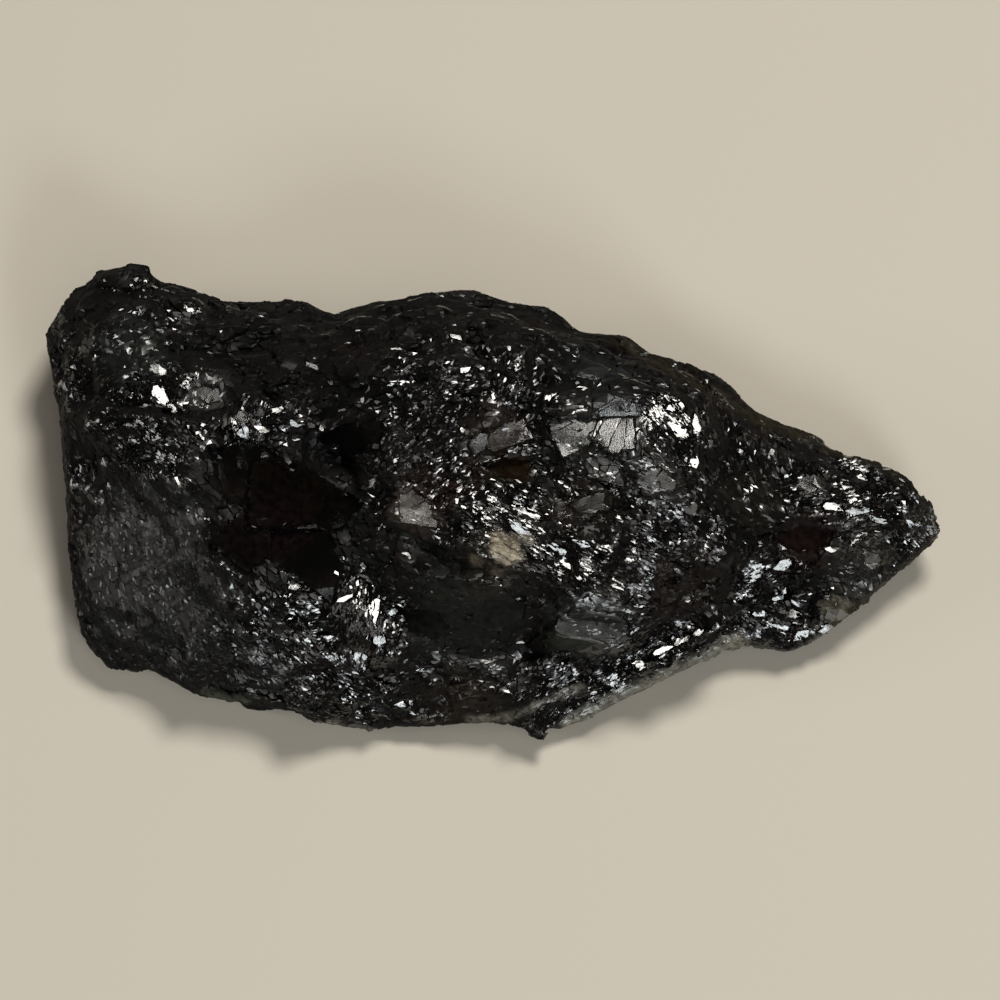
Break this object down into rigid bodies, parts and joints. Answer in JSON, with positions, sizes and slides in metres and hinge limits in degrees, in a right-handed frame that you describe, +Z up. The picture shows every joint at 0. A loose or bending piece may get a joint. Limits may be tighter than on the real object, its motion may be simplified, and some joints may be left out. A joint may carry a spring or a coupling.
{
  "type": "rough black tourmaline",
  "caption": "Rough broken chunk of massive black tourmaline: a wedge with a rounded knob at its blunt end, a stepped hump, a dark pit and a wing that narrows to a point.",
  "frame": {"origin": "middle of the stone's bounding box, on the flat face it rests on", "axes": "+X along the stone from the blunt end to the pointed end, +Z up out of the resting face, +Y towards the high back edge"},
  "size_m": [0.1124, 0.064, 0.0327],
  "materials": {
    "schorl": "glassy black broken faces"
  },
  "bodies": {
    "root": {"black_tourmaline": "schorl"}
  },
  "joints": []
}
